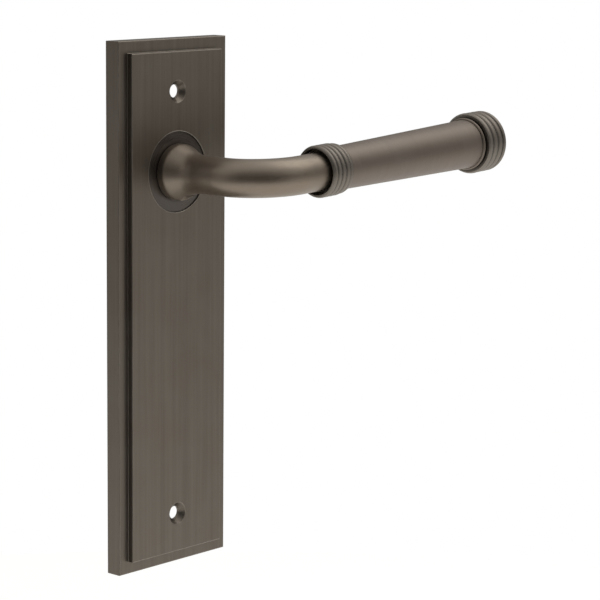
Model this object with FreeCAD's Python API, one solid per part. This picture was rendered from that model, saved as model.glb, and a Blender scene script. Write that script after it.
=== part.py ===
import FreeCAD, Part
import math
import os

# Lever handle on a long latch backplate.
#
# Frame: origin on the spindle axis, in the plane of the door face that the
# backplate sits on. +X towards the free end of the lever, +Y into the door,
# +Z up. Lengths in millimetres. Helper functions work with "d", the distance
# in front of the door face, so that d = -y.

V = FreeCAD.Vector

# ---------------------------------------------------------------- dimensions
# backplate
PLATE_W = 51.0            # width, X
PLATE_H = 180.0           # height, Z
PLATE_TOP = 44.5          # top edge above the spindle axis
BORDER_D = 6.1            # front of the lower border
PANEL_D = 8.28            # front of the raised panel
BORDER_W = 4.15           # width of the border all round
WALL = 2.6                # thickness of the front wall
RIM_W = 4.9               # thickness of the rim round the rear pocket
POCKET_R = 3.0            # pocket corner radius
ARRIS = 0.22              # small chamfer on the front edges
RING_R = 13.65            # hole round the lever boss
FIX_DZ = 72.5             # fixing holes above and below the plate centre
FIX_R = 2.25              # fixing hole
CSK_R = 3.85              # countersink at the panel face

# cover at the back of the mechanism
COVER_X, COVER_Z = 39.4, 41.0
COVER_D0, COVER_D1 = 0.05, 0.85
POST_X, POST_Z = 16.7, 17.4
POST_R = 2.6
SCREW_R = 1.25            # M2.5

# bearing and lever hub
BUSH_FACE_D = 7.78        # front of the bearing ring, half a millimetre down
BUSH_BORE_R = 8.50
BUSH_FLANGE_R, BUSH_FLANGE_T = 15.6, 0.70
JOURNAL_R = 8.45
FOOT_R = 9.55             # foot of the lever boss
FOOT_D = 7.84
HUB_R = 7.30              # rear spigot with two flats
HUB_AF = 13.0
HUB_END_D = 0.30
SQ_AF = 8.10              # square hole for the spindle
SQ_END_D = 17.2
SPINDLE_AF = 7.96
SPINDLE_BACK = 19.0       # how far the spindle stands out of the plate's back

# lever arm
ARM_R = 6.43
AXIS_D = 47.67            # lever axis in front of the door face
BEND_R = 17.9             # centre-line radius of the bend
TILT = 2.6                # the lever rests a little above the horizontal

# stations along the lever axis, from the spindle axis
S_COLLAR = 25.2           # mouth of the reeded collar
S_SEAT = 28.1             # where the arm's shoulder seats in the collar
S_REG = 33.8              # front of the barrel's register
S_BARREL = 35.75          # start of the barrel
S_BEAD = 105.35           # start of the bead ring
S_CAP = 107.0             # start of the end cap
S_END = 117.15            # free end
COLLAR_BORE_R = 7.63
COLLAR_R = 8.85
BARREL_R0, BARREL_R1 = 7.42, 8.64
BEAD_R = 9.30
CAP_R = 10.80
TENON_R = 4.50
STUD_R = 3.0              # M6

# cam, spring and stops
CAM_D0, CAM_D1 = 3.46, 4.54
CAM_R = 14.8
LUG_R = 18.6
STOP_R = 17.2             # pitch radius of the stop pins
STOP_PIN_R = 1.25
BUFFER_R = 2.1
TRAVEL = 40.0             # how far the lever turns down
SPRING_R = 13.0           # mean coil radius
WIRE_R = 0.68
SPRING_D = 2.15           # depth of the wire's centre
SPRING_REAR = 174.0       # where the coil's rear end starts, degrees from +X towards +Z
SPRING_SWEEP = 200.0      # angle the coil covers


# ------------------------------------------------------------------- helpers
def box(x0, x1, d0, d1, z0, z1):
    return Part.makeBox(x1 - x0, d1 - d0, z1 - z0, V(x0, -d1, z0))


def rod(r, d0, d1, x=0.0, z=0.0):
    """Cylinder along Y from d0 to d1."""
    return Part.makeCylinder(r, d1 - d0, V(x, -d0, z), V(0, -1, 0))


def cone(r0, d0, r1, d1, x=0.0, z=0.0):
    return Part.makeCone(r0, r1, d1 - d0, V(x, -d0, z), V(0, -1, 0))


def ring(ro, ri, d0, d1, x=0.0, z=0.0):
    return rod(ro, d0, d1, x, z).cut(rod(ri, d0 - 1, d1 + 1, x, z))


def revolve_d(profile):
    """Closed (r, d) polygon turned about the spindle axis."""
    pts = [V(r, -d, 0) for r, d in profile]
    pts.append(pts[0])
    return Part.Face(Part.makePolygon(pts)).revolve(V(0, 0, 0), V(0, 1, 0), 360)


def turn_face(edges):
    """Edges in the plane z = 0 of (s, r), turned about the X axis."""
    wire = Part.Wire(Part.__sortEdges__(edges))
    return Part.Face(wire).revolve(V(0, 0, 0), V(1, 0, 0), 360)


def seg(a, b):
    return Part.LineSegment(V(a[0], a[1], 0), V(b[0], b[1], 0)).toShape()


def arc(a, m, b):
    return Part.Arc(V(a[0], a[1], 0), V(m[0], m[1], 0), V(b[0], b[1], 0)).toShape()


def on_lever(shape):
    """Move a solid turned about the X axis onto the tilted lever axis."""
    s = shape.copy()
    s.translate(V(0, -AXIS_D, 0))
    s.rotate(V(0, 0, 0), V(0, 1, 0), -TILT)
    return s


def bead_edges(s0, s1, r_low, r_high):
    """One rounded rib from s0 to s1: low at both ends, high in the middle."""
    return arc((s0, r_low), ((s0 + s1) / 2.0, r_high), (s1, r_low))


def polar(r, deg):
    """Point at radius r, angle measured from -Z towards -X, as (x, z)."""
    a = math.radians(deg)
    return -r * math.sin(a), -r * math.cos(a)


parts = {}

# ----------------------------------------------------------------- backplate
z_top = PLATE_TOP
z_bot = PLATE_TOP - PLATE_H
z_mid = (z_top + z_bot) / 2.0
hw = PLATE_W / 2.0


def chamfered_slab(x0, x1, z0, z1, d0, d1, c):
    """Slab whose four front edges carry a small chamfer."""
    low = box(x0, x1, d0, d1 - c, z0, z1)
    w0 = Part.makePolygon([V(x0, -(d1 - c), z0), V(x1, -(d1 - c), z0), V(x1, -(d1 - c), z1),
                           V(x0, -(d1 - c), z1), V(x0, -(d1 - c), z0)])
    w1 = Part.makePolygon([V(x0 + c, -d1, z0 + c), V(x1 - c, -d1, z0 + c), V(x1 - c, -d1, z1 - c),
                           V(x0 + c, -d1, z1 - c), V(x0 + c, -d1, z0 + c)])
    return low.fuse(Part.makeLoft([w0, w1], True, True))


plate = chamfered_slab(-hw, hw, z_bot, z_top, 0, BORDER_D, ARRIS)
panel = chamfered_slab(-hw + BORDER_W, hw - BORDER_W, z_bot + BORDER_W, z_top - BORDER_W,
                       BORDER_D - 1.0, PANEL_D, ARRIS)
plate = plate.fuse(panel).removeSplitter()
# the rear edges are slightly rounded
rear = [e for e in plate.Edges if abs(e.BoundBox.YMin) < 1e-6 and abs(e.BoundBox.YMax) < 1e-6]
plate = plate.makeFillet(0.5, rear)
pocket = box(-hw + RIM_W, hw - RIM_W, -1.0, PANEL_D - WALL, z_bot + RIM_W, z_top - RIM_W)
pocket = pocket.makeFillet(POCKET_R, [e for e in pocket.Edges
                                      if abs(e.BoundBox.YLength - (PANEL_D - WALL + 1.0)) < 1e-6])
plate = plate.cut(pocket)
floor_d = PANEL_D - WALL
# posts for the cover's screws stand in the pocket
for sx in (-1, 1):
    for sz in (-1, 1):
        post = rod(POST_R, COVER_D1, floor_d + 0.5, sx * POST_X, sz * POST_Z)
        plate = plate.fuse(post)
for sx in (-1, 1):
    for sz in (-1, 1):
        plate = plate.cut(rod(SCREW_R + 0.01, 0.0, 5.2, sx * POST_X, sz * POST_Z))
        plate = plate.cut(cone(SCREW_R + 0.26, COVER_D1 - 0.001, SCREW_R, COVER_D1 + 0.26,
                               sx * POST_X, sz * POST_Z))
# hole round the lever boss, its front edge just broken
plate = plate.cut(rod(RING_R, -1, PANEL_D + 1))
plate = plate.cut(cone(RING_R, PANEL_D - 0.12, RING_R + 0.14, PANEL_D + 0.02))
# countersunk fixing holes
for sz in (-1, 1):
    zc = z_mid + sz * FIX_DZ
    plate = plate.cut(rod(FIX_R, 0, PANEL_D + 1, 0, zc))
    plate = plate.cut(cone(FIX_R, PANEL_D - (CSK_R - FIX_R), CSK_R + 0.02, PANEL_D + 0.02, 0, zc))
# holes for the two stop pins and the spring's anchor pin, part way into the wall
stop_a = polar(STOP_R, -16.3)
stop_b = polar(STOP_R, TRAVEL + 16.3)
anchor = (-9.632, 13.933)
PIN_DEEP = floor_d + 1.5
for x, z in (stop_a, stop_b, anchor):
    plate = plate.cut(rod(STOP_PIN_R, 4.0, PIN_DEEP, x, z))
parts["backplate"] = plate.removeSplitter()

# ------------------------------------------------------- bearing ring (front)
parts["bearing_bush"] = revolve_d([
    (BUSH_BORE_R, floor_d - BUSH_FLANGE_T), (BUSH_FLANGE_R - 0.2, floor_d - BUSH_FLANGE_T),
    (BUSH_FLANGE_R, floor_d - BUSH_FLANGE_T + 0.2), (BUSH_FLANGE_R, floor_d),
    (RING_R - 0.02, floor_d), (RING_R - 0.02, BUSH_FACE_D - 0.12), (RING_R - 0.14, BUSH_FACE_D),
    (BUSH_BORE_R + 0.15, BUSH_FACE_D), (BUSH_BORE_R, BUSH_FACE_D - 0.15)])

# ----------------------------------------------------------------- lever arm
# boss: a short cylinder on its foot, a rounded shoulder, then a waist that
# runs into the arm
shoulder = [V(FOOT_R, -(PANEL_D + 2.0), 0), V(9.24, -(PANEL_D + 2.95), 0), V(8.60, -(PANEL_D + 4.3), 0),
            V(7.50, -(PANEL_D + 6.7), 0), V(6.80, -(PANEL_D + 8.8), 0), V(6.51, -(PANEL_D + 11.0), 0),
            V(ARM_R, -(PANEL_D + 13.4), 0)]
curve = Part.BSplineCurve()
curve.interpolate(Points=shoulder, InitialTangent=V(-0.15, -1, 0), FinalTangent=V(0, -1, 0))
d_top = PANEL_D + 13.4
prof = [Part.LineSegment(V(0, -4.54, 0), V(JOURNAL_R, -4.54, 0)).toShape(),
        Part.LineSegment(V(JOURNAL_R, -4.54, 0), V(JOURNAL_R, -FOOT_D, 0)).toShape(),
        Part.LineSegment(V(JOURNAL_R, -FOOT_D, 0), V(FOOT_R - 0.25, -FOOT_D, 0)).toShape(),
        Part.LineSegment(V(FOOT_R - 0.25, -FOOT_D, 0), V(FOOT_R, -(FOOT_D + 0.25), 0)).toShape(),
        Part.LineSegment(V(FOOT_R, -(FOOT_D + 0.25), 0), shoulder[0]).toShape(),
        curve.toShape(),
        Part.LineSegment(shoulder[-1], V(0, -d_top, 0)).toShape(),
        Part.LineSegment(V(0, -d_top, 0), V(0, -4.54, 0)).toShape()]
boss = Part.Face(Part.Wire(prof)).revolve(V(0, 0, 0), V(0, 1, 0), 360)

# the arm: straight out, one bend of 90 degrees, straight into the collar
b0 = AXIS_D - BEND_R
k = math.sqrt(0.5)
path = Part.Wire([
    Part.LineSegment(V(0, -d_top, 0), V(0, -b0, 0)).toShape(),
    Part.Arc(V(0, -b0, 0), V(BEND_R * (1 - k), -(b0 + BEND_R * k), 0), V(BEND_R, -AXIS_D, 0)).toShape(),
    Part.LineSegment(V(BEND_R, -AXIS_D, 0), V(S_SEAT, -AXIS_D, 0)).toShape()])
section = Part.Wire([Part.makeCircle(ARM_R, V(0, -d_top, 0), V(0, -1, 0))])
tube = path.makePipeShell([section], True, False)
tenon = Part.makeCylinder(TENON_R, 17.0, V(S_SEAT, -AXIS_D, 0), V(1, 0, 0))
tap = Part.makeCylinder(STUD_R + 0.01, 11.0, V(S_SEAT + 6.0, -AXIS_D, 0), V(1, 0, 0))
dowel_hole = Part.makeCylinder(0.76, 1.8, V(S_SEAT - 1.8, -AXIS_D, 5.4), V(1, 0, 0))
arm = tube.fuse(tenon).cut(tap).cut(dowel_hole)
arm.rotate(V(0, 0, 0), V(0, 1, 0), -TILT)
hub = rod(HUB_R, HUB_END_D, 4.54 + 0.5).common(box(-HUB_AF / 2, HUB_AF / 2, -1, 9, -20, 20))
groove = ring(HUB_R + 1, 6.50, 2.45, 3.42)
arm = boss.fuse(arm).fuse(hub.cut(groove))
arm = arm.cut(box(-SQ_AF / 2, SQ_AF / 2, -1, SQ_END_D, -SQ_AF / 2, SQ_AF / 2))
# tapped hole for the grub screw, up from below
GRUB_D = 13.2
arm = arm.cut(Part.makeCylinder(2.51, 12.0, V(0, -GRUB_D, 0), V(0, 0, -1)))
parts["lever_arm"] = arm.removeSplitter()

parts["spindle_grub_screw"] = Part.makeCylinder(2.5, 3.2, V(0, -GRUB_D, -SQ_AF / 2 + 0.02), V(0, 0, -1)).cut(
    Part.Face(Part.makePolygon([V(1.45 * math.cos(math.radians(60 * i)), -GRUB_D + 1.45 * math.sin(math.radians(60 * i)),
                                  -SQ_AF / 2 - 3.2) for i in range(7)])).extrude(V(0, 0, 1.8)))

# ------------------------------------------------------------ reeded collar
s = [S_COLLAR, 27.1, 29.2, 31.3, 33.4, S_BARREL]
low = COLLAR_R - 0.60
edges = [seg((S_COLLAR + 0.35, COLLAR_BORE_R), (S_COLLAR, COLLAR_BORE_R + 0.12)),
         arc((S_COLLAR, COLLAR_BORE_R + 0.12), (S_COLLAR + 0.32, 8.47), (S_COLLAR + 1.05, COLLAR_R - 0.02)),
         arc((S_COLLAR + 1.05, COLLAR_R - 0.02), (S_COLLAR + 1.55, 8.66), (s[1], low))]
for i in range(1, 4):
    edges.append(bead_edges(s[i], s[i + 1], low, COLLAR_R))
edges += [arc((s[4], low), (s[4] + 0.95, COLLAR_R - 0.22), (s[5] - 0.1, BARREL_R0 + 0.14)),
          seg((s[5] - 0.1, BARREL_R0 + 0.14), (s[5], BARREL_R0)),
          seg((s[5], BARREL_R0), (s[5], 6.62)), seg((s[5], 6.62), (S_REG, 6.62)),
          seg((S_REG, 6.62), (S_REG, TENON_R + 0.02)), seg((S_REG, TENON_R + 0.02), (S_SEAT, TENON_R + 0.02)),
          seg((S_SEAT, TENON_R + 0.02), (S_SEAT, COLLAR_BORE_R)),
          seg((S_SEAT, COLLAR_BORE_R), (S_COLLAR + 0.35, COLLAR_BORE_R))]
collar = turn_face(edges)
collar = collar.cut(Part.makeCylinder(0.76, 12, V(S_SEAT - 1, 0, 5.4), V(1, 0, 0)))
parts["reeded_collar"] = on_lever(collar)

# -------------------------------------------------------------- grip barrel
tenon_end = S_SEAT + 17.0
barrel = turn_face([
    seg((S_REG, TENON_R + 0.02), (S_REG, 6.6)), seg((S_REG, 6.6), (S_BARREL, 6.6)),
    seg((S_BARREL, 6.6), (S_BARREL, BARREL_R0)),
    seg((S_BARREL, BARREL_R0), (S_BEAD, BARREL_R1)),
    seg((S_BEAD, BARREL_R1), (S_BEAD, STUD_R + 0.3)), seg((S_BEAD, STUD_R + 0.3), (tenon_end + 1.5, STUD_R + 0.3)),
    seg((tenon_end + 1.5, STUD_R + 0.3), (tenon_end + 1.5, TENON_R + 0.02)),
    seg((tenon_end + 1.5, TENON_R + 0.02), (S_REG, TENON_R + 0.02))])
barrel = barrel.cut(Part.makeCylinder(0.76, 5.6, V(S_REG - 0.1, 0, 5.4), V(1, 0, 0)))
parts["grip_barrel"] = on_lever(barrel)

# ----------------------------------------------------------- bead ring
bead = turn_face([
    seg((S_BEAD, STUD_R + 0.3), (S_BEAD, BARREL_R1 - 0.05)), seg((S_BEAD, BARREL_R1 - 0.05), (S_BEAD + 0.12, BARREL_R1 - 0.05)),
    arc((S_BEAD + 0.12, BARREL_R1 - 0.05), (S_BEAD + 0.75, BEAD_R), (S_CAP - 0.3, BARREL_R1 - 0.1)),
    seg((S_CAP - 0.3, BARREL_R1 - 0.1), (S_CAP, BARREL_R1 - 0.1)),
    seg((S_CAP, BARREL_R1 - 0.1), (S_CAP, STUD_R + 0.3)), seg((S_CAP, STUD_R + 0.3), (S_BEAD, STUD_R + 0.3))])
parts["grip_bead_ring"] = on_lever(bead)

# ------------------------------------------------------------------ end cap
c = [107.15, 109.55, 112.3, 115.0, S_END]
clow = CAP_R - 0.74
edges = [seg((S_CAP, 0), (S_CAP, BARREL_R1 - 0.35)), seg((S_CAP, BARREL_R1 - 0.35), (c[0], BARREL_R1 - 0.35)),
         seg((c[0], BARREL_R1 - 0.35), (c[0], CAP_R - 0.45)),
         arc((c[0], CAP_R - 0.45), (c[0] + 0.75, CAP_R - 0.01), (c[1], clow)),
         bead_edges(c[1], c[2], clow, CAP_R), bead_edges(c[2], c[3], clow, CAP_R),
         arc((c[3], clow), (c[3] + 0.95, CAP_R - 0.03), (S_END - 0.2, CAP_R - 1.0)),
         arc((S_END - 0.2, CAP_R - 1.0), (S_END, CAP_R - 1.6), (S_END - 0.2, CAP_R - 2.2)),
         arc((S_END - 0.2, CAP_R - 2.2), (S_END - 0.5, CAP_R - 2.7), (S_END - 0.45, CAP_R - 3.3)),
         arc((S_END - 0.45, CAP_R - 3.3), (S_END + 0.05, 4.9), (S_END + 0.3, 1.8)),
         seg((S_END + 0.3, 1.8), (S_END + 0.3, 0)),
         seg((S_END + 0.3, 0), (S_CAP, 0))]
cap = turn_face(edges)
STUD_S0, STUD_S1 = S_SEAT + 6.5, 113.2
cap = cap.cut(Part.makeCylinder(STUD_R + 0.01, STUD_S1 + 0.4 - S_CAP + 1, V(S_CAP - 1, 0, 0), V(1, 0, 0)))
parts["end_cap"] = on_lever(cap)

# ---------------------------------------------------- stud and dowel inside
stud = Part.makeCylinder(STUD_R, STUD_S1 - STUD_S0, V(STUD_S0, 0, 0), V(1, 0, 0))
stud = stud.makeChamfer(0.4, [e for e in stud.Edges if e.Curve.TypeId == "Part::GeomCircle"])
parts["grip_stud"] = on_lever(stud)
parts["grip_dowel"] = on_lever(Part.makeCylinder(0.75, 12.8, V(S_SEAT - 1.7, 0, 5.4), V(1, 0, 0)))

# ------------------------------------------------------------------ spindle
sp = box(-SPINDLE_AF / 2, SPINDLE_AF / 2, -SPINDLE_BACK, SQ_END_D - 0.4, -SPINDLE_AF / 2, SPINDLE_AF / 2)
sp = sp.makeChamfer(0.35, sp.Edges)
parts["spindle"] = sp

# --------------------------------------------------- washer, cam and circlip
parts["thrust_washer"] = ring(13.0, JOURNAL_R + 0.1, 4.60, 4.92)

cam = rod(CAM_R, CAM_D0, CAM_D1)
half = 8.0
lug_pts = [V(0, -CAM_D0, 0)]
for deg in (-half, half):
    x, z = polar(LUG_R + 2.0, deg)
    lug_pts.append(V(x, -CAM_D0, z))
lug_pts.append(lug_pts[0])
lug = Part.Face(Part.makePolygon(lug_pts)).extrude(V(0, -(CAM_D1 - CAM_D0), 0)).common(rod(LUG_R, CAM_D0, CAM_D1))
cam = cam.fuse(lug)
hub_hole = rod(HUB_R + 0.02, 0, 9).common(box(-HUB_AF / 2 - 0.02, HUB_AF / 2 + 0.02, -1, 10, -20, 20))
cam = cam.cut(hub_hole)
# hole for the spring's front end
end_ang = math.radians(SPRING_REAR + SPRING_SWEEP)
hx, hz = SPRING_R * math.cos(end_ang), SPRING_R * math.sin(end_ang)
cam = cam.cut(rod(WIRE_R + 0.12, 0, 9, hx, hz))
parts["cam_plate"] = cam.removeSplitter()

clip = ring(9.4, 6.55, 2.52, 3.38)
clip = clip.cut(box(-1.6, 1.6, 0, 6, 0, 20))
for sx in (-1, 1):
    ear = rod(1.35, 2.52, 3.38, sx * 2.9, 8.6)
    clip = clip.fuse(ear.cut(box(-1.6, 1.6, 0, 6, 0, 20)))
for sx in (-1, 1):
    clip = clip.cut(rod(0.5, 0, 9, sx * 2.9, 8.6))
parts["retaining_clip"] = clip.removeSplitter()

# ------------------------------------------------------------ return spring
# one flat open coil, with a straight tail on the anchor pin and a short leg bent forward into the cam
rear_ang = math.radians(SPRING_REAR)
rear_pt = V(SPRING_R * math.cos(rear_ang), -SPRING_D, SPRING_R * math.sin(rear_ang))
tang = V(math.sin(rear_ang), 0, -math.cos(rear_ang))
disc = Part.Face(Part.Wire([Part.Circle(rear_pt, tang, WIRE_R).toShape()]))
coil = disc.revolve(V(0, 0, 0), V(0, -1, 0), SPRING_SWEEP)
front = V(SPRING_R * math.cos(end_ang), -SPRING_D, SPRING_R * math.sin(end_ang))
leg = Part.makeSphere(WIRE_R, front).fuse(Part.makeCylinder(WIRE_R, 2.3, front, V(0, -1, 0)))
tail = Part.makeCylinder(WIRE_R, 14.2, rear_pt, tang)
spring = coil.fuse(leg).fuse(tail).removeSplitter()
parts["return_spring"] = spring

# ------------------------------------------------- pins, buffers and anchor
pins = []
buffers = []
for x, z in (stop_a, stop_b):
    pins.append(rod(STOP_PIN_R - 0.005, 1.2, PIN_DEEP - 0.05, x, z))
    buffers.append(ring(BUFFER_R, STOP_PIN_R + 0.01, 2.9, 4.9, x, z))
parts["stop_pins"] = Part.Compound(pins)
parts["stop_buffers"] = Part.Compound(buffers)
parts["spring_anchor_pin"] = rod(STOP_PIN_R - 0.005, 0.95, PIN_DEEP - 0.05, anchor[0], anchor[1])

# ---------------------------------------------------- cover, screws and bush
cover = box(-COVER_X / 2, COVER_X / 2, COVER_D0, COVER_D1, -COVER_Z / 2, COVER_Z / 2)
cover = cover.makeFillet(3.0, [e for e in cover.Edges if abs(e.BoundBox.YLength - (COVER_D1 - COVER_D0)) < 1e-6])
cover = cover.cut(rod(9.0, -1, 3))
screws = []
for sx in (-1, 1):
    for sz in (-1, 1):
        x, z = sx * POST_X, sz * POST_Z
        cover = cover.cut(cone(2.32, COVER_D0 - 0.001, SCREW_R + 0.24, COVER_D1 + 0.001, x, z))
        scr = cone(2.28, COVER_D0, SCREW_R, COVER_D0 + 1.03, x, z).fuse(rod(SCREW_R, COVER_D0 + 1.0, 5.0, x, z))
        scr = scr.cut(box(x - 1.1, x + 1.1, -1, COVER_D0 + 0.5, z - 0.25, z + 0.25))
        scr = scr.cut(box(x - 0.25, x + 0.25, -1, COVER_D0 + 0.5, z - 1.1, z + 1.1))
        screws.append(scr.removeSplitter())
parts["spring_cover"] = cover
parts["cover_screws"] = Part.Compound(screws)
parts["rear_bush"] = ring(8.98, HUB_R + 0.05, COVER_D0, COVER_D1 + 0.2).fuse(
    ring(11.7, HUB_R + 0.05, COVER_D1 + 0.02, 2.3)).removeSplitter()

# -------------------------------------------------------------------- output
os.makedirs("parts", exist_ok=True)
for name, shape in parts.items():
    bad = [s for s in shape.Solids if not s.isValid()]
    print("%-20s solids %d vol %9.2f valid %s" % (name, len(shape.Solids), shape.Volume, not bad))
    if len(shape.Solids) == 1:
        shape = shape.Solids[0]
    shape.exportStep("parts/%s.step" % name)
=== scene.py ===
import bmesh
import bpy
import math
from mathutils import Matrix, Vector


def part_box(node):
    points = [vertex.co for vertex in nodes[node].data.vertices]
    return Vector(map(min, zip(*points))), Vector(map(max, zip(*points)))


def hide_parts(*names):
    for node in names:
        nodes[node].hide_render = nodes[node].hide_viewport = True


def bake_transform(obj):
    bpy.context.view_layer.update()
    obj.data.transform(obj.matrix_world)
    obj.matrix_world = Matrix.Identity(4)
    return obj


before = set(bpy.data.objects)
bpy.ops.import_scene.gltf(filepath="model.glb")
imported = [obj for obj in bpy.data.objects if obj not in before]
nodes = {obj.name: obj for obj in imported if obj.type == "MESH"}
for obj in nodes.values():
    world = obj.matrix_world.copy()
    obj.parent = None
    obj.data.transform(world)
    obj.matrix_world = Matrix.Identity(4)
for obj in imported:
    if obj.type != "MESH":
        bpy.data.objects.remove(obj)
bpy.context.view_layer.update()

MM = 0.001
TILT = math.radians(2.6)

plate_lo, plate_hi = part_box("backplate")
plate_mid = (plate_lo + plate_hi) / 2
stud_lo, stud_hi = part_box("grip_stud")
grip_mid = (stud_lo + stud_hi) / 2
bush_lo, bush_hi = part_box("bearing_bush")
seat_r = 0.01365


# ------------------------------------------------------------------ materials
class Nodes:
    """A small helper that adds nodes to one material and joins them."""

    def __init__(self, name):
        self.mat = bpy.data.materials.new(name)
        self.mat.use_nodes = True
        self.t = self.mat.node_tree
        self.t.nodes.clear()
        self.out = self.t.nodes.new("ShaderNodeOutputMaterial")
        self.bsdf = self.t.nodes.new("ShaderNodeBsdfPrincipled")
        self.t.links.new(self.bsdf.outputs[0], self.out.inputs["Surface"])

    def put(self, socket, value):
        if isinstance(value, bpy.types.NodeSocket):
            self.t.links.new(value, socket)
        else:
            socket.default_value = value

    def math(self, op, a, b=None, c=None, clamp=False):
        n = self.t.nodes.new("ShaderNodeMath")
        n.operation = op
        n.use_clamp = clamp
        for i, v in enumerate((a, b, c)):
            if v is not None:
                self.put(n.inputs[i], v)
        return n.outputs[0]

    def vmath(self, op, a, b=None):
        n = self.t.nodes.new("ShaderNodeVectorMath")
        n.operation = op
        self.put(n.inputs[0], a)
        if b is not None:
            self.put(n.inputs[1], b)
        return n.outputs["Value"] if op in ("DOT_PRODUCT", "LENGTH") else n.outputs[0]

    def coords(self):
        n = self.t.nodes.new("ShaderNodeTexCoord")
        return n.outputs["Object"]

    def noise(self, vec, scale=1.0, detail=3.0, rough=0.5, dist=0.0):
        n = self.t.nodes.new("ShaderNodeTexNoise")
        self.put(n.inputs["Vector"], vec)
        n.inputs["Scale"].default_value = scale
        n.inputs["Detail"].default_value = detail
        n.inputs["Roughness"].default_value = rough
        n.inputs["Distortion"].default_value = dist
        return n.outputs[0]

    def remap(self, v, a, b, c, d):
        n = self.t.nodes.new("ShaderNodeMapRange")
        n.clamp = True
        self.put(n.inputs[0], v)
        for i, x in enumerate((a, b, c, d)):
            n.inputs[1 + i].default_value = x
        return n.outputs[0]

    def mix(self, fac, a, b, kind="MIX"):
        n = self.t.nodes.new("ShaderNodeMix")
        n.data_type = "RGBA"
        n.blend_type = kind
        self.put(n.inputs[0], fac)
        for sock, v in ((n.inputs[6], a), (n.inputs[7], b)):
            if isinstance(v, tuple):
                v = (*v, 1.0) if len(v) == 3 else v
            self.put(sock, v)
        return n.outputs[2]

    def sep(self, v):
        n = self.t.nodes.new("ShaderNodeSeparateXYZ")
        self.put(n.inputs[0], v)
        return n.outputs

    def comb(self, x, y, z):
        n = self.t.nodes.new("ShaderNodeCombineXYZ")
        for i, v in enumerate((x, y, z)):
            self.put(n.inputs[i], v)
        return n.outputs[0]


def grain_vector(m, kind, co):
    """Texture coordinates in which one unit is a grinding line's width across, and many widths along."""
    if kind == "vertical":                       # brushed along the plate's height
        return m.vmath("MULTIPLY", co, (3600.0, 3600.0, 42.0))
    if kind == "face":                           # turned about the spindle's axis
        x, y, z = m.sep(co)
        r = m.math("SQRT", m.math("ADD", m.math("MULTIPLY", x, x), m.math("MULTIPLY", z, z)))
        ang = m.math("ARCTAN2", z, x)
        return m.comb(m.math("MULTIPLY", r, 4200.0), m.math("MULTIPLY", y, 4200.0), m.math("MULTIPLY", ang, 1.4))
    if kind == "turned":                         # turned about the grip's own axis
        d = m.vmath("SUBTRACT", co, tuple(grip_mid))
        s = m.vmath("DOT_PRODUCT", d, (math.cos(TILT), 0.0, math.sin(TILT)))
        u = m.vmath("DOT_PRODUCT", d, (-math.sin(TILT), 0.0, math.cos(TILT)))
        y = m.sep(d)[1]
        ang = m.math("ARCTAN2", u, y)
        r = m.math("SQRT", m.math("ADD", m.math("MULTIPLY", u, u), m.math("MULTIPLY", y, y)))
        return m.comb(m.math("MULTIPLY", s, 4200.0), m.math("MULTIPLY", r, 3000.0), m.math("MULTIPLY", ang, 1.2))
    if kind == "long":                           # drawn along the tilted lever
        return m.vmath("MULTIPLY", co, (260.0, 1900.0, 1900.0))
    return m.vmath("MULTIPLY", co, (1500.0, 1500.0, 1500.0))


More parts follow.
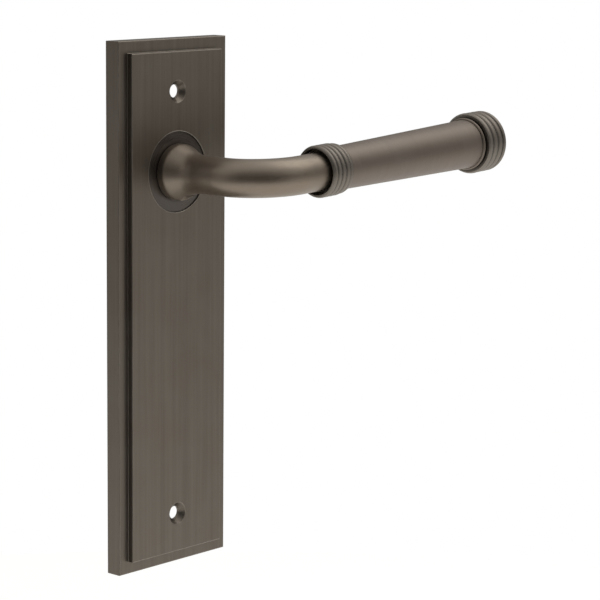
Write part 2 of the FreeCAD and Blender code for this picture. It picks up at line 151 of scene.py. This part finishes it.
def metal(name, base, deep, bright, rough, grain, metallic=0.95, grain_amt=0.10, bump=0.10,
          edge_wear_and_highlight=0.55, cavity=0.55, tint=(0.0, 0.0, 0.0), edge=0.00025, mottled=0.10, dark_spots=0.0, cav_dist=0.0022,
          cav=(0.30, 0.80), streaks=0.0, step=None):
    m = Nodes(name)
    co = m.coords()
    gv = grain_vector(m, grain, co)
    fine = m.noise(gv, 1.0, 3.0, 0.55)
    broad = m.noise(m.vmath("MULTIPLY", gv, (0.16, 0.16, 0.55)), 1.0, 2.0, 0.5)
    cloud = m.noise(co, 55.0, 3.0, 0.55, 0.3)
    speck = m.noise(co, 900.0, 2.0, 0.6)

    bev = m.t.nodes.new("ShaderNodeBevel")
    bev.samples = 6
    bev.inputs["Radius"].default_value = edge
    geo = m.t.nodes.new("ShaderNodeNewGeometry")
    turn = m.vmath("DOT_PRODUCT", bev.outputs[0], geo.outputs["Normal"])
    rim = m.remap(turn, 0.998, 0.93, 0.0, 1.0)
    scratch = m.remap(m.noise(gv, 0.6, 2.0, 0.6), 0.35, 0.65, 0.35, 1.0)
    rim = m.math("MULTIPLY", rim, scratch)

    ao = m.t.nodes.new("ShaderNodeAmbientOcclusion")
    ao.samples = 8
    ao.inputs["Distance"].default_value = cav_dist
    pit = m.remap(ao.outputs["AO"], cav[0], cav[1], 1.0, 0.0)

    # colour: streaks, clouds of patina, recesses darkened partly as patina and partly as painted shade, edges lightened
    # partly as rubbed wear and partly as painted highlight
    streak = m.math("ADD", m.math("MULTIPLY", fine, 0.6), m.math("MULTIPLY", broad, 0.4))
    colour = m.mix(m.remap(streak, 0.30, 0.70, 0.5 - grain_amt * 2.2, 0.5 + grain_amt * 2.2), deep, bright)
    colour = m.mix(0.62, colour, base)
    # warm, browner patches and cooler, paler ones
    lo = tuple(c * (1.0 - mottled) * t for c, t in zip(base, (1.02, 0.985, 0.95)))
    hi = tuple(c * (1.0 + mottled) * t for c, t in zip(base, (0.985, 1.01, 1.015)))
    if streaks:
        # wide, soft bands left by the finishing belt, running the same way as the grain
        band = m.noise(m.vmath("MULTIPLY", co, (620.0, 620.0, 5.0)), 1.0, 3.0, 0.6)
        band = m.remap(band, 0.30, 0.70, 0.5 - streaks, 0.5 + streaks)
        colour = m.mix(0.35, colour, m.mix(band, tuple(c * 0.55 for c in base), tuple(c * 1.45 for c in base)))
    colour = m.mix(m.remap(cloud, 0.36, 0.64, 0.0, 1.0), m.mix(0.5, colour, lo), m.mix(0.5, colour, hi))
    if dark_spots:
        colour = m.mix(m.math("MULTIPLY", m.remap(speck, 0.60, 0.76, 0.0, 1.0), dark_spots), colour, deep)
    if step:
        # painted shade: the step's riser walls darkened
        x, y, z = m.sep(co)
        riser_painted_shade = m.math("MULTIPLY", m.remap(y, step["face"] + 0.00004, step["face"] + 0.00022, 0.0, 1.0),
                      m.remap(y, step["ledge"] - 0.00012, step["ledge"] - 0.00003, 1.0, 0.0))
        # painted highlight: the lip of the round seat lightened as a lit arris, brightest on the side away from the
        # lever
        rr = m.math("SQRT", m.math("ADD", m.math("MULTIPLY", x, x), m.math("MULTIPLY", z, z)))
        seat_lip_highlight = m.math("MULTIPLY", m.remap(rr, seat_r - 0.00008, seat_r + 0.00004, 0.0, 1.0),
                     m.remap(rr, seat_r + 0.00016, seat_r + 0.00034, 1.0, 0.0))
        seat_lip_highlight = m.math("MULTIPLY", seat_lip_highlight, m.remap(x, -0.004, 0.006, 1.0, 0.1))
        seat_lip_highlight = m.math("MULTIPLY", seat_lip_highlight, m.remap(y, step["face"] + 0.0003, step["face"] + 0.0004, 1.0, 0.0))
        colour = m.mix(m.math("MULTIPLY", seat_lip_highlight, 0.85), colour, (0.52, 0.48, 0.43))
        colour = m.mix(m.math("MULTIPLY", riser_painted_shade, 0.15), colour, tuple(c * 0.50 for c in deep))
    # patina plus painted shade: recesses found by ambient occlusion are darkened
    colour = m.mix(m.math("MULTIPLY", pit, cavity), colour, tuple(c * 0.45 for c in deep))
    # rubbed wear plus painted highlight: edges found by the bevel normal are lightened
    colour = m.mix(m.math("MULTIPLY", rim, edge_wear_and_highlight), colour, bright)
    m.put(m.bsdf.inputs["Base Color"], colour)

    r = m.math("ADD", m.math("MULTIPLY", m.math("SUBTRACT", fine, 0.5), 0.24),
               m.math("MULTIPLY", m.math("SUBTRACT", cloud, 0.5), 0.16))
    r = m.math("ADD", r, rough)
    r = m.math("ADD", r, m.math("MULTIPLY", pit, 0.12))
    r = m.math("SUBTRACT", r, m.math("MULTIPLY", rim, 0.08), clamp=True)
    m.put(m.bsdf.inputs["Roughness"], r)
    m.bsdf.inputs["Metallic"].default_value = metallic

    b1 = m.t.nodes.new("ShaderNodeBump")
    b1.inputs["Strength"].default_value = bump
    b1.inputs["Distance"].default_value = 0.00006
    m.put(b1.inputs["Height"], m.math("ADD", fine, m.math("MULTIPLY", speck, 0.25)))
    m.put(b1.inputs["Normal"], bev.outputs[0])
    m.put(m.bsdf.inputs["Normal"], b1.outputs[0])
    return m.mat


def polymer(name, base, rough, scale=700.0, contrast=0.12, bump=0.25, subsurface=0.0):
    m = Nodes(name)
    co = m.coords()
    grain = m.noise(co, scale, 4.0, 0.6)
    cloud = m.noise(co, 90.0, 3.0, 0.5, 0.4)
    lo = tuple(c * (1.0 - contrast) for c in base)
    hi = tuple(min(1.0, c * (1.0 + contrast)) for c in base)
    colour = m.mix(m.remap(cloud, 0.35, 0.65, 0.0, 1.0), lo, hi)
    colour = m.mix(m.math("MULTIPLY", m.remap(grain, 0.55, 0.75, 0.0, 1.0), 0.3), colour, tuple(c * 0.7 for c in base))
    m.put(m.bsdf.inputs["Base Color"], colour)
    m.put(m.bsdf.inputs["Roughness"], m.math("ADD", rough, m.math("MULTIPLY", m.math("SUBTRACT", grain, 0.5), 0.3), clamp=True))
    m.bsdf.inputs["Metallic"].default_value = 0.0
    m.bsdf.inputs["Specular IOR Level"].default_value = 0.45
    m.bsdf.inputs["Subsurface Weight"].default_value = subsurface
    b = m.t.nodes.new("ShaderNodeBump")
    b.inputs["Strength"].default_value = bump
    b.inputs["Distance"].default_value = 0.00005
    m.put(b.inputs["Height"], grain)
    m.put(m.bsdf.inputs["Normal"], b.outputs[0])
    return m.mat


BRONZE = (0.168, 0.145, 0.120)
BRONZE_DEEP = (0.092, 0.074, 0.058)
BRONZE_BRIGHT = (0.355, 0.315, 0.270)
LEVER = (0.240, 0.200, 0.158)
LEVER_DEEP = (0.135, 0.102, 0.080)
LEVER_BRIGHT = (0.380, 0.326, 0.270)
TURNED = (0.208, 0.174, 0.146)
TURNED_DEEP = (0.108, 0.086, 0.068)
TURNED_BRIGHT = (0.330, 0.285, 0.240)

looks = {
    "bronze_plate": metal("bronze_plate", BRONZE, BRONZE_DEEP, BRONZE_BRIGHT, 0.40, "vertical",
                          grain_amt=0.20, bump=0.18, edge_wear_and_highlight=1.0, cavity=0.55, edge=0.00034, mottled=0.07,
                          cav_dist=0.0006, cav=(0.22, 0.52), streaks=0.45,
                          step={"face": plate_lo.y, "ledge": plate_hi.y - 0.0061}),
    "bronze_arm": metal("bronze_arm", LEVER, LEVER_DEEP, LEVER_BRIGHT, 0.40, "long",
                        grain_amt=0.05, bump=0.025, edge_wear_and_highlight=0.45, cavity=0.40, edge=0.00022, mottled=0.08,
                        cav_dist=0.0015, cav=(0.25, 0.65)),
    "bronze_turned": metal("bronze_turned", TURNED, TURNED_DEEP, TURNED_BRIGHT, 0.50, "turned",
                           grain_amt=0.14, bump=0.12, edge_wear_and_highlight=0.60, cavity=0.80, edge=0.00018, mottled=0.07,
                           cav_dist=0.0011, cav=(0.36, 0.84)),
    "bronze_reeded": metal("bronze_reeded", (0.204, 0.181, 0.155), (0.084, 0.073, 0.061), (0.450, 0.405, 0.358), 0.46,
                           "turned", grain_amt=0.14, bump=0.10, edge_wear_and_highlight=1.0, cavity=0.95, edge=0.00030, mottled=0.07,
                           cav_dist=0.0012, cav=(0.40, 0.92)),
    "dark_bush": metal("dark_bush", (0.122, 0.108, 0.096), (0.072, 0.061, 0.054), (0.250, 0.228, 0.206), 0.31, "face",
                       grain_amt=0.10, bump=0.08, edge_wear_and_highlight=0.55, cavity=0.70, edge=0.00018, mottled=0.05),
    "zinc_steel": metal("zinc_steel", (0.40, 0.405, 0.395), (0.26, 0.265, 0.262), (0.60, 0.61, 0.60), 0.38, "fine",
                        metallic=0.95, grain_amt=0.12, bump=0.10, edge_wear_and_highlight=0.50, cavity=0.55, mottled=0.06, dark_spots=0.25),
    "zinc_pressed": metal("zinc_pressed", (0.38, 0.385, 0.375), (0.24, 0.245, 0.24), (0.58, 0.59, 0.58), 0.40, "long",
                          metallic=0.95, grain_amt=0.14, bump=0.12, edge_wear_and_highlight=0.50, cavity=0.60, mottled=0.07, dark_spots=0.20),
    "spring_steel": metal("spring_steel", (0.36, 0.36, 0.37), (0.20, 0.20, 0.21), (0.62, 0.62, 0.63), 0.26, "fine",
                          metallic=1.0, grain_amt=0.10, bump=0.06, edge_wear_and_highlight=0.40, cavity=0.55, mottled=0.06),
    "black_steel": metal("black_steel", (0.060, 0.060, 0.064), (0.028, 0.028, 0.030), (0.190, 0.190, 0.196), 0.38, "fine",
                         metallic=0.85, grain_amt=0.12, bump=0.10, edge_wear_and_highlight=0.70, cavity=0.50, mottled=0.10),
    "nylon": polymer("nylon", (0.72, 0.70, 0.64), 0.46, 800.0, 0.06, 0.20, 0.10),
    "buffer_rubber": polymer("buffer_rubber", (0.030, 0.030, 0.031), 0.68, 1200.0, 0.20, 0.40),
}

dress = {
    "backplate": "bronze_plate",
    "bearing_bush": "dark_bush",
    "lever_arm": "bronze_arm",
    "reeded_collar": "bronze_reeded",
    "grip_barrel": "bronze_turned",
    "grip_bead_ring": "bronze_turned",
    "end_cap": "bronze_reeded",
    "grip_stud": "zinc_steel",
    "grip_dowel": "zinc_steel",
    "spindle": "zinc_pressed",
    "spindle_grub_screw": "black_steel",
    "cam_plate": "zinc_steel",
    "retaining_clip": "black_steel",
    "thrust_washer": "nylon",
    "stop_pins": "zinc_steel",
    "stop_buffers": "buffer_rubber",
    "spring_anchor_pin": "zinc_steel",
    "spring_cover": "zinc_pressed",
    "cover_screws": "zinc_steel",
    "rear_bush": "nylon",
    "return_spring": "spring_steel",
}
for name, look in dress.items():
    ob = nodes[name]
    if not ob.data.materials:
        ob.data.materials.append(looks[look])
    for i in range(len(ob.data.materials)):
        ob.data.materials[i] = looks[look]


# -------------------------------------------------- the return spring's wire
def wire_mesh(name, path, radius, around=20):
    """A round wire along the points of path, with domed ends."""
    bm = bmesh.new()
    rings = []
    up = Vector((0.0, 1.0, 0.0))
    for i, p in enumerate(path):
        a = path[max(i - 1, 0)]
        b = path[min(i + 1, len(path) - 1)]
        t = (b - a).normalized()
        side = up.cross(t)
        if side.length < 0.3:
            side = Vector(last_side)
            side = (side - t * side.dot(t))
        side.normalize()
        other = t.cross(side).normalized()
        last_side = side.copy()
        rings.append([bm.verts.new(p + side * radius * math.cos(2 * math.pi * k / around)
                                   + other * radius * math.sin(2 * math.pi * k / around)) for k in range(around)])
    for r0, r1 in zip(rings[:-1], rings[1:]):
        for k in range(around):
            bm.faces.new((r0[k], r0[(k + 1) % around], r1[(k + 1) % around], r1[k]))
    for ring, p, nxt in ((rings[0], path[0], path[1]), (rings[-1], path[-1], path[-2])):
        out = (p - nxt).normalized()
        mid = []
        for v in ring:
            mid.append(bm.verts.new(p + (v.co - p) * 0.72 + out * radius * 0.16))
        tip = bm.verts.new(p + out * radius * 0.20)
        for k in range(around):
            bm.faces.new((ring[k], ring[(k + 1) % around], mid[(k + 1) % around], mid[k]))
            bm.faces.new((mid[k], mid[(k + 1) % around], tip))
    bmesh.ops.recalc_face_normals(bm, faces=bm.faces)
    me = bpy.data.meshes.new(name)
    bm.to_mesh(me)
    bm.free()
    for p in me.polygons:
        p.use_smooth = True
    ob = bpy.data.objects.new(name, me)
    bpy.context.scene.collection.objects.link(ob)
    return ob


sp_lo, sp_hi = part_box("return_spring")
WIRE = 0.68 * MM
COIL = 13.0 * MM
mid_y = sp_hi.y - WIRE
rear, sweep = math.radians(174.0), math.radians(200.0)
r_pt = Vector((COIL * math.cos(rear), mid_y, COIL * math.sin(rear)))
tail_dir = Vector((math.sin(rear), 0.0, -math.cos(rear)))
path = [r_pt + tail_dir * (14.05 * MM) * (1 - i / 14) for i in range(14)]
for i in range(97):
    a = rear + sweep * i / 96
    path.append(Vector((COIL * math.cos(a), mid_y, COIL * math.sin(a))))
a_end = rear + sweep
f_pt = path[-1].copy()
along = Vector((-math.sin(a_end), 0.0, math.cos(a_end)))
bend = 0.75 * MM
path = path[:-3]
for i in range(1, 7):
    q = math.pi / 2 * i / 6
    path.append(f_pt + along * (-bend + bend * math.sin(q)) + Vector((0, -1, 0)) * (bend - bend * math.cos(q)))
leg_end = sp_lo.y + 0.18 * MM
y0 = path[-1].y
for i in range(1, 6):
    path.append(Vector((f_pt.x, y0 + (leg_end - y0) * i / 5, f_pt.z)))
coil = wire_mesh("return_spring_wire", path, WIRE)
coil.data.materials.append(looks["spring_steel"])
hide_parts("return_spring")
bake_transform(coil)

# ---------------------------------------------------------------- smooth skin
for name, ob in nodes.items():
    me = ob.data
    if len(me.polygons) and not me.polygons[0].use_smooth:
        for p in me.polygons:
            p.use_smooth = True

# ------------------------------------------------------------------- staging
scene = bpy.context.scene
scene.view_settings.view_transform = "Standard"
scene.view_settings.look = "None"
scene.view_settings.exposure = 0.0
scene.view_settings.gamma = 1.0

world = bpy.data.worlds.new("studio")
scene.world = world
world.use_nodes = True
wt = world.node_tree
wt.nodes.clear()


def wnode(kind):
    return wt.nodes.new(kind)


w_out = wnode("ShaderNodeOutputWorld")
w_co = wnode("ShaderNodeTexCoord")
w_sep = wnode("ShaderNodeSeparateXYZ")
wt.links.new(w_co.outputs["Generated"], w_sep.inputs[0])
ramp = wnode("ShaderNodeValToRGB")
to01 = wnode("ShaderNodeMapRange")
to01.inputs[1].default_value = -1.0
to01.inputs[2].default_value = 1.0
wt.links.new(w_sep.outputs[2], to01.inputs[0])
wt.links.new(to01.outputs[0], ramp.inputs[0])
stops = [(0.00, 0.80), (0.30, 0.62), (0.42, 0.40), (0.49, 0.26), (0.56, 0.20), (0.66, 0.26), (0.80, 0.70), (1.00, 0.85)]
cr = ramp.color_ramp
cr.elements[0].position, cr.elements[0].color = stops[0][0], (stops[0][1],) * 3 + (1,)
cr.elements[1].position, cr.elements[1].color = stops[-1][0], (stops[-1][1],) * 3 + (1,)
for pos, val in stops[1:-1]:
    e = cr.elements.new(pos)
    e.color = (val, val * 0.985, val * 0.96, 1)
# a little brighter towards the plate's own left, where the side wall looks
side = wnode("ShaderNodeVectorMath")
side.operation = "DOT_PRODUCT"
wt.links.new(w_co.outputs["Generated"], side.inputs[0])
side.inputs[1].default_value = (-0.74, 0.66, -0.10)
side_map = wnode("ShaderNodeMapRange")
wt.links.new(side.outputs["Value"], side_map.inputs[0])
side_map.inputs[1].default_value = 0.0
side_map.inputs[2].default_value = 1.0
side_map.inputs[3].default_value = 1.0
side_map.inputs[4].default_value = 1.15
# and darker over the left, where an unlit room would be
room = wnode("ShaderNodeVectorMath")
room.operation = "DOT_PRODUCT"
wt.links.new(w_co.outputs["Generated"], room.inputs[0])
room.inputs[1].default_value = (-0.86, -0.51, 0.0)
room_map = wnode("ShaderNodeMapRange")
wt.links.new(room.outputs["Value"], room_map.inputs[0])
room_map.inputs[1].default_value = 0.35
room_map.inputs[2].default_value = 0.85
room_map.inputs[3].default_value = 1.0
room_map.inputs[4].default_value = 0.30
both = wnode("ShaderNodeMath")
both.operation = "MULTIPLY"
wt.links.new(side_map.outputs[0], both.inputs[0])
wt.links.new(room_map.outputs[0], both.inputs[1])
front = wnode("ShaderNodeVectorMath")
front.operation = "DOT_PRODUCT"
wt.links.new(w_co.outputs["Generated"], front.inputs[0])
front.inputs[1].default_value = (0.47, -0.87, -0.12)
front_map = wnode("ShaderNodeMapRange")
wt.links.new(front.outputs["Value"], front_map.inputs[0])
front_map.inputs[1].default_value = 0.55
front_map.inputs[2].default_value = 1.0
front_map.inputs[3].default_value = 1.0
front_map.inputs[4].default_value = 1.65
most = wnode("ShaderNodeMath")
most.operation = "MULTIPLY"
wt.links.new(both.outputs[0], most.inputs[0])
wt.links.new(front_map.outputs[0], most.inputs[1])
gain = wnode("ShaderNodeVectorMath")
gain.operation = "SCALE"
wt.links.new(ramp.outputs[0], gain.inputs[0])
wt.links.new(most.outputs[0], gain.inputs["Scale"])
bg_refl = wnode("ShaderNodeBackground")
wt.links.new(gain.outputs[0], bg_refl.inputs[0])
bg_refl.inputs[1].default_value = 1.0
bg_seen = wnode("ShaderNodeBackground")
bg_seen.inputs[0].default_value = (1, 1, 1, 1)
bg_seen.inputs[1].default_value = 1.0
lp = wnode("ShaderNodeLightPath")
mixw = wnode("ShaderNodeMixShader")
wt.links.new(lp.outputs["Is Camera Ray"], mixw.inputs[0])
wt.links.new(bg_refl.outputs[0], mixw.inputs[1])
wt.links.new(bg_seen.outputs[0], mixw.inputs[2])
wt.links.new(mixw.outputs[0], w_out.inputs[0])

# pale floor, well below the plate
bm = bmesh.new()
bmesh.ops.create_circle(bm, cap_ends=True, radius=0.95, segments=96)
fm = bpy.data.meshes.new("floor")
bm.to_mesh(fm)
bm.free()
floor = bpy.data.objects.new("floor", fm)
floor.location = (plate_mid.x, plate_mid.y, plate_lo.z - 0.26)
scene.collection.objects.link(floor)
fl = bpy.data.materials.new("floor")
fl.use_nodes = True
ft = fl.node_tree
ft.nodes.clear()
fo = ft.nodes.new("ShaderNodeOutputMaterial")
fd = ft.nodes.new("ShaderNodeBsdfDiffuse")
fd.inputs[0].default_value = (0.80, 0.80, 0.79, 1)
fe = ft.nodes.new("ShaderNodeEmission")
fe.inputs[0].default_value = (1, 1, 1, 1)
fe.inputs[1].default_value = 0.45
fa = ft.nodes.new("ShaderNodeAddShader")
ft.links.new(fd.outputs[0], fa.inputs[0])
ft.links.new(fe.outputs[0], fa.inputs[1])
ft.links.new(fa.outputs[0], fo.inputs["Surface"])
fm.materials.append(fl)


def area(name, loc, target, size, size_y, power, colour=(1, 1, 1)):
    l = bpy.data.lights.new(name, "AREA")
    l.shape = "RECTANGLE"
    l.size, l.size_y = size, size_y
    l.energy = power
    l.color = colour
    o = bpy.data.objects.new(name, l)
    o.location = loc
    d = Vector(target) - Vector(loc)
    o.rotation_euler = d.to_track_quat("-Z", "Y").to_euler()
    scene.collection.objects.link(o)
    return o


centre = Vector((0.045, -0.03, -0.04))
area("overhead", (0.55, -0.25, 0.95), centre, 0.95, 0.80, 3.0)
area("left_fill", (-1.05, 0.35, 0.25), centre, 0.5, 0.9, 0.4)

# -------------------------------------------------------------------- camera
cam = bpy.data.cameras.new("camera")
cam.sensor_fit = "HORIZONTAL"
cam.sensor_width = 36.0
cam.lens = 145.41
cam.clip_start = 0.02
cam.clip_end = 20.0
co = bpy.data.objects.new("camera", cam)
right = Vector((0.66369, -0.74795, 0.00939))
forward = Vector((0.73856, 0.65327, -0.16666))
up = right.cross(forward).normalized()
right = forward.cross(up).normalized()
rot = Matrix((right, up, -forward.normalized())).transposed()
co.matrix_world = Matrix.Translation(plate_mid + Vector((-0.57876, -0.5714, 0.13904))) @ rot.to_4x4()
scene.collection.objects.link(co)
scene.camera = co
